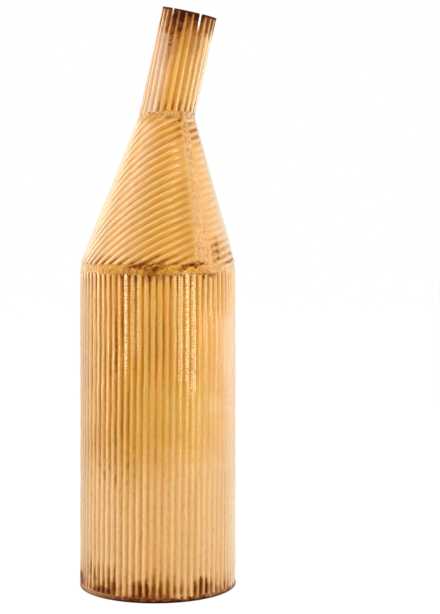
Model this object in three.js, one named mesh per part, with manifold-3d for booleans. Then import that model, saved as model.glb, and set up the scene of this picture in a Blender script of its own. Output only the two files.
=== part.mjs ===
// A tall bottle vase brazed together from fluted sheet metal: a straight body with upright flutes,
// a cone that leans to one side with its flutes winding round it, and a short tilted neck.
// Millimetres, +Z up. The origin is the centre of the foot, on the surface that the vase stands on.
// Azimuths are counted from the front, which faces -Y, and grow towards +X.

import * as THREE from "three";
import { mergeVertices } from "three/addons/utils/BufferGeometryUtils.js";
import Module from "manifold-3d";

const wasm = await Module();
wasm.setup();

// Driving dimensions: the sheet
const sheetThickness = 0.9;
const fluteDepth = 1.2; // crest to groove
const fluteRoundness = 1.3; // 1 is a half-round rib with a sharp groove, 2 is a plain wave

// Driving dimensions: the body
const bodyDiameter = 127; // over the crests
const bodyHeight = 255.5; // its top, over the surface that the vase stands on
const bodyFlutes = 72; // all round, one of them taken up by the seam
const bodySeamAzimuth = 180;

// Driving dimensions: the foot
const basePlateThickness = 3;
const basePlateOverhang = 0.2; // past the body's crests
const basePlateEdge = 1.2; // radius of its rounded edge
const footFillet = 4; // leg of the brazed fillet inside the foot

// Driving dimensions: the cone
const coneHeight = 115.4; // between the two brazed bands
const coneHalfAngle = 18.57;
const coneLean = 3.15;
const coneFlutePitch = 5.8; // across the flutes, on the flat sheet
const flutesUprightAzimuth = -180; // where the flutes run straight up the cone
const coneFrontSeamAzimuth = 38;
const coneRearSeamAzimuth = 180;
const coneSeamAngle = 10; // how much of the round each seam takes

// Driving dimensions: the neck
const neckDiameter = 45; // over the crests
const neckLength = 86.5; // along its axis, from the middle of the joint to the middle of the rim
const neckLean = 12.4;
const rimTilt = 4.8; // the rim is cut a little lower in front
const neckFlutes = 24; // all round, one of them taken up by the seam
const neckSeamAzimuth = 180;

// Driving dimensions: the brazed bands and the fit of the pieces
const shoulderBandHeight = 7.4;
const shoulderCornerRise = 7.3; // from the top of the body to where its crests and the cone's would meet
const shoulderBandInset = 0.8; // from the crests in to the band
const shoulderBandSwell = 0.3; // how far the band bulges past a straight line between its ends
const neckBandHeight = 4;
const neckBandSwell = 0.3;
const jointGap = 0.3; // between pieces that are brazed together
const coneSeamGap = 0.7; // degrees between the cone's sheet and its seam

// How finely round things are faceted
const samplesPerFlute = 6;
const linesPerConeFlute = 3;
const coneColumnStep = 12; // degrees
const footSegments = 72;
const footEdgeSteps = 3;
const shoulderSegments = 72;
const neckBandSegments = 48;
const bandArcSteps = 4;

// How closely points count as one, and how often a crossing is halved until it is found
const weldTolerance = 1e-4;
const lineTolerance = 1e-6;
const crossingHalvings = 40;

// What follows from the driving dimensions
const radians = THREE.MathUtils.degToRad;
const wallDepth = fluteDepth + sheetThickness; // crest outside to groove inside
const bodyRadius = bodyDiameter / 2;
const bodyBore = bodyRadius - wallDepth;
const neckRadius = neckDiameter / 2;
const bodyBottom = basePlateThickness + jointGap;
const shoulderBandBottom = bodyHeight + jointGap;
const shoulderBandTop = shoulderBandBottom + shoulderBandHeight;
const coneBottom = shoulderBandTop + jointGap;
const coneTop = coneBottom + coneHeight;
const neckBandBottom = coneTop + jointGap;
const neckBandTop = neckBandBottom + neckBandHeight;
const neckBottom = neckBandTop + jointGap;

// The cone's two outermost lines, seen from the front, rise from the body's crests and meet at the apex
const leftSlope = Math.tan(radians(coneHalfAngle + coneLean));
const rightSlope = Math.tan(radians(coneHalfAngle - coneLean));
const apexRise = bodyDiameter / (leftSlope + rightSlope);
const apexOffset = (apexRise * (leftSlope - rightSlope)) / 2;
const coneApex = new THREE.Vector3(apexOffset, 0, bodyHeight + shoulderCornerRise + apexRise);

// Middle and half width of the cone's crests at a height
function coneSection(height) {
  const below = coneApex.z - height;
  return {
    middle: coneApex.x + (below * (rightSlope - leftSlope)) / 2,
    radius: (below * (rightSlope + leftSlope)) / 2,
  };
}
const neckJoint = coneSection(neckBottom);

// Share of the flute's depth that stands at a place along its pitch: 1 on the crest, 0 in the groove
function fluteRise(turns) {
  return Math.abs(Math.cos(Math.PI * turns)) ** fluteRoundness;
}

// Point at a radius and an azimuth, seen from above
function around(radius, azimuth) {
  return new THREE.Vector2(radius * Math.sin(azimuth), -radius * Math.cos(azimuth));
}

function solidOf(geometry) {
  const bare = geometry.clone();
  bare.deleteAttribute("normal");
  bare.deleteAttribute("uv");
  const merged = mergeVertices(bare, weldTolerance);
  return new wasm.Manifold(
    new wasm.Mesh({
      numProp: 3,
      vertProperties: new Float32Array(merged.attributes.position.array),
      triVerts: new Uint32Array(merged.index.array),
    }),
  );
}

function geometryOf(solid) {
  const mesh = solid.getMesh();
  const geometry = new THREE.BufferGeometry();
  geometry.setAttribute("position", new THREE.BufferAttribute(mesh.vertProperties, 3));
  geometry.setIndex(new THREE.BufferAttribute(mesh.triVerts, 1));
  geometry.computeVertexNormals();
  return geometry;
}

// A fluted sheet rolled into a tube and left open by one flute, where the seam is brazed
function rolledTube({ radius, flutes, seamAzimuth, length }) {
  const pitch = (2 * Math.PI) / flutes;
  const samples = (flutes - 1) * samplesPerFlute;
  const outline = [];
  const addSkin = (inset, sample) => {
    const turns = 0.5 + sample / samplesPerFlute;
    const crestDrop = fluteDepth * (1 - fluteRise(turns));
    outline.push(around(radius - crestDrop - inset, radians(seamAzimuth) + turns * pitch));
  };
  for (let sample = 0; sample <= samples; sample += 1) addSkin(0, sample);
  for (let sample = samples; sample >= 0; sample -= 1) addSkin(sheetThickness, sample);
  return new THREE.ExtrudeGeometry(new THREE.Shape(outline), { depth: length, bevelEnabled: false });
}

// The brazed bar that closes a rolled tube, with its outer face rounded level with the crests
function tubeSeam({ radius, flutes, seamAzimuth, length }) {
  const halfWidth = Math.PI / flutes - jointGap / (radius - wallDepth);
  const middle = radians(seamAzimuth);
  const outline = [-1, -0.5, 0, 0.5, 1].map((side) => around(radius, middle + side * halfWidth));
  outline.push(around(radius - wallDepth, middle + halfWidth));
  outline.push(around(radius - wallDepth, middle - halfWidth));
  return new THREE.ExtrudeGeometry(new THREE.Shape(outline), { depth: length, bevelEnabled: false });
}

// A ring turned from a closed profile of radius and height
function turnedRing(profile, segments) {
  const closed = [...profile, profile[0]].map(([radius, height]) => new THREE.Vector2(radius, height));
  return new THREE.LatheGeometry(closed, segments).rotateX(Math.PI / 2);
}

// A brazed band between two sheets: it runs from one crest radius to the next and swells between them
function brazedBand({ lowerRadius, upperRadius, bottom, top, swell, segments }) {
  const outside = [];
  for (let step = 0; step <= bandArcSteps; step += 1) {
    const share = step / bandArcSteps;
    const bulge = swell * Math.sin(Math.PI * share);
    const radius = THREE.MathUtils.lerp(lowerRadius, upperRadius, share) + bulge;
    outside.push([radius, THREE.MathUtils.lerp(bottom, top, share)]);
  }
  const inside = [
    [upperRadius - wallDepth, top],
    [lowerRadius - wallDepth, bottom],
  ];
  return turnedRing([...outside, ...inside], segments);
}

// The cone in its own frame, with the apex at the origin and the axis down -Z.
const coneSin = Math.sin(radians(coneHalfAngle));
const coneCos = Math.cos(radians(coneHalfAngle));
const leanSin = Math.sin(radians(coneLean));
const leanCos = Math.cos(radians(coneLean));

function conePoint(slant, azimuth, rise) {
  const outward = slant * coneSin + rise * coneCos;
  const flat = around(outward, azimuth);
  return new THREE.Vector3(flat.x, flat.y, rise * coneSin - slant * coneCos);
}

// Slant distance from the apex at which a line up the cone, raised off it by rise, meets a level height
function slantAtHeight(azimuth, height, rise) {
  const levelOf = (point) => leanCos * point.z - leanSin * point.x;
  const start = levelOf(conePoint(0, azimuth, rise));
  const perUnit = levelOf(conePoint(1, azimuth, rise)) - start;
  return (height - coneApex.z - start) / perUnit;
}

// How far a point slips along the slant for each unit that it rises off the cone, so that it keeps its height
function levelSlip(azimuth) {
  return slantAtHeight(azimuth, 0, 1) - slantAtHeight(azimuth, 0, 0);
}

// Distance across the flutes on the unrolled sheet, where they are straight and parallel
function acrossFlutes(slant, azimuth) {
  return slant * Math.sin((azimuth - radians(flutesUprightAzimuth)) * coneSin);
}

// Azimuth between two columns at which a flute line leaves through the top or the bottom edge
function edgeCrossing(across, height, from, to) {
  const missAt = (azimuth) => acrossFlutes(slantAtHeight(azimuth, height, 0), azimuth) - across;
  const rising = missAt(to) > missAt(from);
  let low = from;
  let high = to;
  for (let halving = 0; halving < crossingHalvings; halving += 1) {
    const middle = (low + high) / 2;
    if (missAt(middle) > 0 === rising) high = middle;
    else low = middle;
  }
  return (low + high) / 2;
}

// A patch of the cone between two azimuths, as a closed solid whose facets follow the flutes.
// riseAcross gives the outer skin's height over the crest cone for a distance across the flutes.
function conePatch({ from, to, lineSpacing, riseAcross, thickness }) {
  const columns = Math.max(2, Math.ceil(Math.abs(to - from) / coneColumnStep));
  const azimuths = [];
  for (let column = 0; column <= columns; column += 1) {
    azimuths.push(radians(THREE.MathUtils.lerp(from, to, column / columns)));
  }

  // Flute lines between two distances, in rising order
  const linesBetween = (low, high) => {
    const found = [];
    if (!lineSpacing) return found;
    const first = Math.ceil(low / lineSpacing + lineTolerance);
    for (let line = first; line * lineSpacing < high - lineTolerance; line += 1) {
      found.push(line * lineSpacing);
    }
    return found;
  };
  const cornerAt = (azimuth, height) => {
    const slant = slantAtHeight(azimuth, height, 0);
    return { slant, azimuth, across: acrossFlutes(slant, azimuth) };
  };
  const columnLines = (top, bottom) =>
    linesBetween(top.across, bottom.across).map((across) => ({
      slant: across / acrossFlutes(1, top.azimuth),
      azimuth: top.azimuth,
      across,
    }));
  const edgeLines = (start, end, height) => {
    const falls = end.across < start.across;
    const lines = falls ? linesBetween(end.across, start.across) : linesBetween(start.across, end.across);
    const marks = lines.map((across) => {
      const azimuth = edgeCrossing(across, height, start.azimuth, end.azimuth);
      return { slant: slantAtHeight(azimuth, height, 0), azimuth, across };
    });
    return falls ? marks.reverse() : marks;
  };

  const corners = [];
  let inset = 0;
  const place = (mark) => {
    const rise = riseAcross(mark.across) - inset;
    return conePoint(mark.slant + rise * levelSlip(mark.azimuth), mark.azimuth, rise);
  };
  const addTriangle = (a, b, c, turned) => {
    if (a === b || b === c || a === c) return;
    const points = turned ? [a, c, b] : [a, b, c];
    for (const mark of points) corners.push(...place(mark).toArray());
  };
  // Fill between two chains of marks that both run in rising order across the flutes
  const addStrip = (left, right, turned) => {
    let i = 0;
    let j = 0;
    while (i < left.length - 1 || j < right.length - 1) {
      const nextLeft = i < left.length - 1 ? left[i + 1].across : Infinity;
      const nextRight = j < right.length - 1 ? right[j + 1].across : Infinity;
      if (nextLeft <= nextRight) {
        addTriangle(left[i], left[i + 1], right[j], turned);
        i += 1;
      } else {
        addTriangle(left[i], right[j + 1], right[j], turned);
        j += 1;
      }
    }
  };
  const addWall = (marks, turned) => {
    for (let i = 0; i < marks.length - 1; i += 1) {
      const quad = [];
      for (const depth of [0, thickness]) {
        inset = depth;
        quad.push(place(marks[i]), place(marks[i + 1]));
      }
      const order = turned ? [0, 1, 2, 1, 3, 2] : [0, 2, 1, 1, 2, 3];
      for (const corner of order) corners.push(...quad[corner].toArray());
    }
  };

  const tops = azimuths.map((azimuth) => cornerAt(azimuth, coneTop));
  const bottoms = azimuths.map((azimuth) => cornerAt(azimuth, coneBottom));
  const inner = azimuths.map((_, column) => columnLines(tops[column], bottoms[column]));
  for (let column = 0; column < columns; column += 1) {
    const topEdge = edgeLines(tops[column], tops[column + 1], coneTop);
    const bottomEdge = edgeLines(bottoms[column], bottoms[column + 1], coneBottom);
    const left = [tops[column], ...inner[column], bottoms[column]];
    const right = [tops[column + 1], ...inner[column + 1], bottoms[column + 1]];
    if (tops[column + 1].across > tops[column].across) right.unshift(tops[column], ...topEdge);
    else left.unshift(tops[column + 1], ...[...topEdge].reverse());
    if (bottoms[column + 1].across > bottoms[column].across) left.push(...bottomEdge, bottoms[column + 1]);
    else right.push(...[...bottomEdge].reverse(), bottoms[column]);
    for (const depth of [0, thickness]) {
      inset = depth;
      addStrip(left, right, depth > 0);
    }
    addWall([tops[column], ...topEdge, tops[column + 1]], true);
    addWall([bottoms[column], ...bottomEdge, bottoms[column + 1]], false);
  }
  addWall([tops[0], ...inner[0], bottoms[0]], false);
  addWall([tops[columns], ...inner[columns], bottoms[columns]], true);

  const geometry = new THREE.BufferGeometry();
  geometry.setAttribute("position", new THREE.Float32BufferAttribute(corners, 3));
  const merged = mergeVertices(geometry, weldTolerance);
  merged.computeVertexNormals();
  return merged;
}

// A fluted sheet of the cone, held back from the seams at both its sides
function coneSheet(fromSeam, toSeam) {
  return conePatch({
    from: fromSeam + coneSeamAngle / 2,
    to: toSeam - coneSeamAngle / 2,
    lineSpacing: coneFlutePitch / linesPerConeFlute,
    riseAcross: (across) => -fluteDepth * (1 - fluteRise(across / coneFlutePitch + 0.5)),
    thickness: sheetThickness,
  });
}

// The brazed strip that closes the cone between two sheets, level with the crests
function coneSeam(azimuth) {
  const halfAngle = coneSeamAngle / 2 - coneSeamGap;
  return conePatch({
    from: azimuth - halfAngle,
    to: azimuth + halfAngle,
    riseAcross: () => 0,
    thickness: wallDepth,
  });
}

// Cuts a piece of the neck off level with the joint below it and along the rim above it
function cutNeckEnds(geometry) {
  const size = 2 * neckDiameter;
  const block = () => new THREE.BoxGeometry(size, size, size);
  const below = block().translate(0, 0, -size / 2).rotateY(-radians(neckLean));
  const above = block().translate(0, 0, size / 2).rotateX(radians(rimTilt)).translate(0, 0, neckLength);
  return geometryOf(solidOf(geometry).subtract(solidOf(below)).subtract(solidOf(above)));
}

// The neck's pieces run this far past the middles of joint and rim, so that the cuts clear them all round
const neckCutAllowance = neckDiameter * Math.tan(radians(neckLean));
const rimCutAllowance = neckDiameter * Math.tan(radians(rimTilt));

const sheetMetal = () => new THREE.MeshStandardMaterial({ color: 0xe0a551, metalness: 1, roughness: 0.32 });
const brazeMetal = () => new THREE.MeshStandardMaterial({ color: 0xc4894a, metalness: 1, roughness: 0.45 });
const burntMetal = () => new THREE.MeshStandardMaterial({ color: 0x8a5a2c, metalness: 1, roughness: 0.5 });

function piece(name, geometry, material) {
  const mesh = new THREE.Mesh(geometry, material);
  mesh.name = name;
  return mesh;
}

// Foot: a round plate with a rounded edge under the body, and a fillet of braze inside the joint
const basePlateRadius = bodyRadius + basePlateOverhang;
const basePlateProfile = [new THREE.Vector2(0, 0)];
for (const [middle, start] of [
  [basePlateEdge, -90],
  [basePlateThickness - basePlateEdge, 0],
]) {
  for (let step = 0; step <= footEdgeSteps; step += 1) {
    const turn = radians(start + (90 * step) / footEdgeSteps);
    const outward = basePlateRadius - basePlateEdge * (1 - Math.cos(turn));
    basePlateProfile.push(new THREE.Vector2(outward, middle + basePlateEdge * Math.sin(turn)));
  }
}
basePlateProfile.push(new THREE.Vector2(0, basePlateThickness));
const basePlateGeometry = new THREE.LatheGeometry(basePlateProfile, footSegments).rotateX(Math.PI / 2);
const footFilletRadius = bodyBore - jointGap;
const footFilletProfile = [
  [footFilletRadius - footFillet, basePlateThickness],
  [footFilletRadius, basePlateThickness],
  [footFilletRadius, basePlateThickness + footFillet],
];
const footFilletGeometry = turnedRing(footFilletProfile, footSegments);

// Body: one rolled sheet and its seam
const bodyTube = {
  radius: bodyRadius,
  flutes: bodyFlutes,
  seamAzimuth: bodySeamAzimuth,
  length: bodyHeight - bodyBottom,
};

// Bands: one round the shoulder, one round the foot of the neck
const shoulderBandGeometry = brazedBand({
  lowerRadius: bodyRadius - shoulderBandInset,
  upperRadius: coneSection(shoulderBandTop).radius - shoulderBandInset,
  bottom: shoulderBandBottom,
  top: shoulderBandTop,
  swell: shoulderBandSwell,
  segments: shoulderSegments,
});
const neckBandGeometry = brazedBand({
  lowerRadius: coneSection(neckBandBottom).radius,
  upperRadius: neckRadius,
  bottom: neckBandBottom,
  top: neckBandTop,
  swell: neckBandSwell,
  segments: neckBandSegments,
});
// The neck is cut aslant, so its foot is longer along the lean, and the band widens to it towards its top
const neckBandPoints = neckBandGeometry.attributes.position;
for (let corner = 0; corner < neckBandPoints.count; corner += 1) {
  const share = (neckBandPoints.getZ(corner) - neckBandBottom) / neckBandHeight;
  const stretch = THREE.MathUtils.lerp(1, 1 / Math.cos(radians(neckLean)), share);
  neckBandPoints.setX(corner, neckBandPoints.getX(corner) * stretch);
}
const neckBandPiece = piece("neck_band", neckBandGeometry, brazeMetal());
neckBandPiece.position.x = neckJoint.middle;

// Cone: two sheets cut from one flat pattern, and the two seams between them
const cone = new THREE.Group();
cone.position.copy(coneApex);
cone.rotation.y = radians(coneLean);
cone.add(
  piece("cone_left_sheet", coneSheet(coneRearSeamAzimuth - 360, coneFrontSeamAzimuth), sheetMetal()),
  piece("cone_right_sheet", coneSheet(coneFrontSeamAzimuth, coneRearSeamAzimuth), sheetMetal()),
  piece("cone_front_seam", coneSeam(coneFrontSeamAzimuth), brazeMetal()),
  piece("cone_rear_seam", coneSeam(coneRearSeamAzimuth), brazeMetal()),
);

// Neck: one rolled sheet and its seam, cut at both ends
const neckTube = {
  radius: neckRadius,
  flutes: neckFlutes,
  seamAzimuth: neckSeamAzimuth,
  length: neckLength + neckCutAllowance + rimCutAllowance,
};
const neck = new THREE.Group();
neck.position.set(neckJoint.middle, 0, neckBottom);
neck.rotation.y = radians(neckLean);
neck.add(
  piece("neck_sheet", cutNeckEnds(rolledTube(neckTube).translate(0, 0, -neckCutAllowance)), sheetMetal()),
  piece("neck_seam", cutNeckEnds(tubeSeam(neckTube).translate(0, 0, -neckCutAllowance)), brazeMetal()),
);

const vase = new THREE.Group();
vase.add(
  piece("base_plate", basePlateGeometry, burntMetal()),
  piece("foot_fillet", footFilletGeometry, burntMetal()),
  piece("body_sheet", rolledTube(bodyTube).translate(0, 0, bodyBottom), sheetMetal()),
  piece("body_seam", tubeSeam(bodyTube).translate(0, 0, bodyBottom), brazeMetal()),
  piece("shoulder_band", shoulderBandGeometry, brazeMetal()),
  cone,
  neckBandPiece,
  neck,
);

export default vase;
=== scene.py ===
# Fluted metal bottle vase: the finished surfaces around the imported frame
# Metres, +Z up, the front faces -Y, azimuths are counted from the front towards +X
import math

import bmesh
import bpy
from mathutils import Matrix, Vector, noise


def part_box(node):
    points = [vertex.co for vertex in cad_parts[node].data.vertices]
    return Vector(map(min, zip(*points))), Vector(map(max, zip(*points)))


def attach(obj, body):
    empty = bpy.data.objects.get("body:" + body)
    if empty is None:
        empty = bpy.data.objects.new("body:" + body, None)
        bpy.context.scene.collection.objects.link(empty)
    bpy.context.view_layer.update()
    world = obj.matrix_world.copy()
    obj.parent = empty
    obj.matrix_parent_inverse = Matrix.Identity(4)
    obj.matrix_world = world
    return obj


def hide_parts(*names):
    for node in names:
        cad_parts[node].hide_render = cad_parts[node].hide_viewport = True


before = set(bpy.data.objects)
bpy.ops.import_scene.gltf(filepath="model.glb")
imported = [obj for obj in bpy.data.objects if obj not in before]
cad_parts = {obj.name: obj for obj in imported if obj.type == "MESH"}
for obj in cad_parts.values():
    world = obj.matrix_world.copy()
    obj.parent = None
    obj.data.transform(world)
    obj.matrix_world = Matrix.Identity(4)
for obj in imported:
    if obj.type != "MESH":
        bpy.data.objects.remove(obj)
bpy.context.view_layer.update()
mm = 0.001
smoothAngle = math.radians(40)  # sharper edges than this stay sharp
print("frame loaded:", len(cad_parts), "nodes")

# the sheet that body, cone and neck are rolled from
sheet = {
    "thickness": 0.9 * mm,
    "fluteDepth": 1.2 * mm,
    "roundness": 1.3,  # 1 is a half-round rib with a sharp groove, 2 is a plain wave
    "steps": 8,  # points across one flute
    "opening": 0.3,  # flutes left out on each side of a rear seam
    # size and height of the unevenness that the rolled sheets share
    "wobble": (0.018, 0.6 * mm),
    "ripple": (0.008, 0.3 * mm),
    "dents": (0.035, 0.5 * mm),
    "twistEnd": 170,  # degrees from the front where a tube's twist has faded out, beside its seam
    "twistOver": 60,
}


def fluteDrop(turns):  # how far the sheet lies under its crest
    return sheet["fluteDepth"] * (1 - abs(math.cos(math.pi * turns)) ** sheet["roundness"])


def smooth(share):
    share = min(max(share, 0), 1)
    return share * share * (3 - 2 * share)


def deselectAll():
    bpy.ops.object.select_all(action="DESELECT")


def activate(piece):
    bpy.context.view_layer.objects.active = piece


def selectMesh():
    bpy.ops.mesh.select_all(action="SELECT")


def startEdit():  # with every point selected
    bpy.ops.object.mode_set(mode="EDIT")
    bpy.ops.mesh.select_mode(type="VERT")
    selectMesh()


def endEdit():
    bpy.ops.object.mode_set(mode="OBJECT")


def startPiece(name):  # the primitive that was just added, with its place put into its mesh
    piece = bpy.context.object
    piece.name = name
    piece.data.name = name
    bpy.ops.object.transform_apply(location=True, rotation=True, scale=True)
    return piece


def editPoints(piece, wanted):  # in edit mode, select the points whose place passes the test
    bpy.ops.mesh.select_all(action="DESELECT")
    mesh = bmesh.from_edit_mesh(piece.data)
    for point in mesh.verts:
        if wanted(point.co):
            point.select_set(True)
    mesh.select_flush(True)
    bmesh.update_edit_mesh(piece.data)


def pushOut(move):
    bpy.ops.mesh.extrude_region_move(TRANSFORM_OT_translate={"value": move})


def applyModifier(piece, kind, **settings):
    activate(piece)
    modifier = piece.modifiers.new(kind.lower(), kind)
    for name, value in settings.items():
        setattr(modifier, name, value)
    bpy.ops.object.modifier_apply(modifier=modifier.name)


def lumps(piece, size, height, **settings):  # uneven surface from a cloud pattern
    clouds = bpy.data.textures.new(piece.name + "Lumps", "CLOUDS")
    clouds.noise_scale = size
    clouds.noise_depth = 1
    clouds.cloud_type = "COLOR" if settings.get("direction") == "RGB_TO_XYZ" else "GRAYSCALE"
    settings.update(texture=clouds, texture_coords="LOCAL", strength=height, mid_level=0.5)
    applyModifier(piece, "DISPLACE", **settings)


def lumpsWhere(piece, weightAt, size, height, **settings):  # the same, held to part of the piece
    group = piece.vertex_groups.new(name="lumpy")
    for point in piece.data.vertices:
        weight = weightAt(point.co)
        if weight > 0:
            group.add([point.index], min(weight, 1), "REPLACE")
    lumps(piece, size, height, vertex_group="lumpy", **settings)
    piece.vertex_groups.clear()


def faceOutwards(piece, outward):  # outward gives the way out at a face's middle
    startEdit()
    bpy.ops.mesh.normals_make_consistent(inside=False)
    endEdit()
    lean = sum(face.normal.dot(outward(face.center)) for face in piece.data.polygons)
    if lean < 0:
        piece.data.flip_normals()


def storeFlutes(piece, grooves, ribs):  # 0 on the crests, 1 in the grooves, and the number of the rib
    for name, values in (("groove", grooves), ("rib", ribs)):
        layer = piece.data.attributes.new(name, "FLOAT", "POINT")
        layer.data.foreach_set("value", values)


def thicken(piece, edgeMaterial):  # the number of the material that the cut edges take
    settings = {"thickness": sheet["thickness"], "offset": -1, "use_even_offset": True}
    applyModifier(piece, "SOLIDIFY", material_offset_rim=edgeMaterial, **settings)


def trim(piece, place, normal):  # cut the piece off at a plane and drop what lies beyond it
    activate(piece)
    startEdit()
    bpy.ops.mesh.bisect(plane_co=place, plane_no=normal, clear_outer=True)
    endEdit()


def finishPiece(piece, node, slotName, *materials):
    piece.data.materials.clear()
    for material in materials:
        piece.data.materials.append(material)
    deselectAll()
    piece.select_set(True)
    activate(piece)
    bpy.ops.object.shade_smooth_by_angle(angle=smoothAngle)
    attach(piece, "root")
    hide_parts(node)
    print(node, "finished:", len(piece.data.polygons), "faces")


# places that the pieces share
bodyLow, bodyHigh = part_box("body_sheet")
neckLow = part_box("neck_sheet")[0]
neckBandLow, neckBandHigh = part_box("neck_band")
coneLow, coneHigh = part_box("cone_left_sheet")

cone = {
    "halfAngle": math.radians(18.57),
    "lean": math.radians(3.15),
    "cornerRise": 7.3 * mm,  # from the top of the body to where its crests and the cone's would meet
    "pitch": 5.8 * mm,
    "uprightAzimuth": -180,  # where the flutes run straight up the cone
    "frontSeam": 38,
    "rearSeam": 180,
    "seamAngle": 10,
    "columnStep": 2.5,
    "edgeColumns": (0.7, 1.5, 2.5),  # closer columns beside the seams, in degrees
    "seamRunOut": 4,  # degrees over which the flutes fade out beside the seams
    "footRise": 1.4 * mm,  # how far the flutes are pushed up at the foot of the cone
    "footRiseFrom": 0.312,
    "footRiseOver": 0.035,
    "seamSink": 0.4 * mm,
    "raggedSize": 0.006,
    "ragged": 2 * mm,
    # heights over which the flutes are pressed flatter, right of the front seam and left of it
    "rightFlat": (0.274, 0.292, 0.35, 0.366),
    "leftFlat": (0.322, 0.342, 0.354, 0.368),
    # how much flatter, the azimuth where that ends and the degrees over which it fades
    "rightFlatAzimuths": (0.6, 130, 40),
    "leftFlatAzimuths": (0.8, 2, 30),
}
coneSin = math.sin(cone["halfAngle"])
coneCos = math.cos(cone["halfAngle"])
bodyRadius = bodyHigh.x
leftSlope = math.tan(cone["halfAngle"] + cone["lean"])
rightSlope = math.tan(cone["halfAngle"] - cone["lean"])
apexRise = 2 * bodyRadius / (leftSlope + rightSlope)
apexAcross = apexRise * (leftSlope - rightSlope) / 2
coneApex = Vector((apexAcross, 0, bodyHigh.z + cone["cornerRise"] + apexRise))
coneTurn = Matrix.Rotation(cone["lean"], 3, "Y")


def coneMiddle(height):
    return coneApex.x + (coneApex.z - height) * (rightSlope - leftSlope) / 2


def coneRadius(height):
    return (coneApex.z - height) * (rightSlope + leftSlope) / 2


neckLean = math.radians(12.4)
neckLength = 86.5 * mm
rimTilt = math.radians(4.8)  # the rim is cut a little lower in front
neckTurn = Matrix.Rotation(neckLean, 3, "Y")
neckAxis = neckTurn @ Vector((0, 0, 1))
neckFoot = Vector((coneMiddle(neckLow.z), 0, neckLow.z))
neckRadius = -neckLow.y
rimMiddle = neckFoot + neckAxis * neckLength
rimNormal = neckTurn @ Vector((0, -math.sin(rimTilt), math.cos(rimTilt)))


# shader maths: a wire is one socket, and sums of wires add their nodes
def mathsMethod(operation, swapped=False):  # joins a wire with another wire or a number
    def method(self, other):
        first, second = (other, self) if swapped else (self, other)
        return self.maths(operation, first, second)

    return method


class Wire:
    def __init__(self, tree, socket=None):
        self.tree = tree
        self.socket = socket

    def node(self, kind, settings=None, values=None, out=0):
        made = self.tree.nodes.new(kind)
        for name, value in (settings or {}).items():
            setattr(made, name, value)
        for name, value in (values or {}).items():
            plug(value, made, name)
        return Wire(self.tree, made.outputs[out])

    def maths(self, operation, first, second=0):
        return self.node("ShaderNodeMath", {"operation": operation}, {0: first, 1: second})

    def __abs__(self):
        return self.maths("ABSOLUTE", self)

    __add__ = mathsMethod("ADD")
    __radd__ = mathsMethod("ADD", swapped=True)
    __sub__ = mathsMethod("SUBTRACT")
    __rsub__ = mathsMethod("SUBTRACT", swapped=True)
    __mul__ = mathsMethod("MULTIPLY")
    __rmul__ = mathsMethod("MULTIPLY", swapped=True)
    __truediv__ = mathsMethod("DIVIDE")
    __pow__ = mathsMethod("POWER")
    larger = mathsMethod("MAXIMUM")

    def fade(self, low, high):  # 0 at low, 1 at high, smooth between; low may be the larger
        values = {"Value": self, "From Min": low, "From Max": high}
        return self.node("ShaderNodeMapRange", {"interpolation_type": "SMOOTHSTEP"}, values)

    def blend(self, first, second):  # two colours, mixed by this wire
        return self.node("ShaderNodeMix", {"data_type": "RGBA"}, {0: self, 6: first, 7: second}, out=2)

    def clouds(self, scale, detail=2, roughness=0.5):
        values = {"Vector": self, "Scale": scale, "Detail": detail, "Roughness": roughness}
        return self.node("ShaderNodeTexNoise", values=values)

    def vector(self, operation, other):
        values = {0: self, 1: other}
        return self.node("ShaderNodeVectorMath", {"operation": operation}, values, out="Value")

    def away(self, spot):
        return self.vector("DISTANCE", spot)

    def along(self, axis):
        return self.vector("DOT_PRODUCT", axis)

    def across(self):
        return self.along((1, 0, 0))

    def height(self):
        return self.along((0, 0, 1))

    def front(self):  # 1 on the front of the vase
        return self.along((0, 1, 0)).fade(0, -0.01)

    def stored(self, name):  # a value kept with the mesh's points
        return self.node("ShaderNodeAttribute", {"attribute_name": name}, out="Fac")


def newMaterial(name):
    material = bpy.data.materials.new(name)
    material.use_nodes = True
    shader = material.node_tree.nodes["Principled BSDF"]
    place = Wire(material.node_tree).node("ShaderNodeTexCoord", out="Object")
    return material, shader, place


def plug(value, node, name):  # a wire or a plain value, into one of the node's inputs
    if isinstance(value, Wire):
        value.tree.links.new(value.socket, node.inputs[name])
    else:
        node.inputs[name].default_value = value


def bump(place, height, strength, distance):
    values = {"Strength": strength, "Distance": distance, "Height": height}
    return place.node("ShaderNodeBump", values=values)


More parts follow.
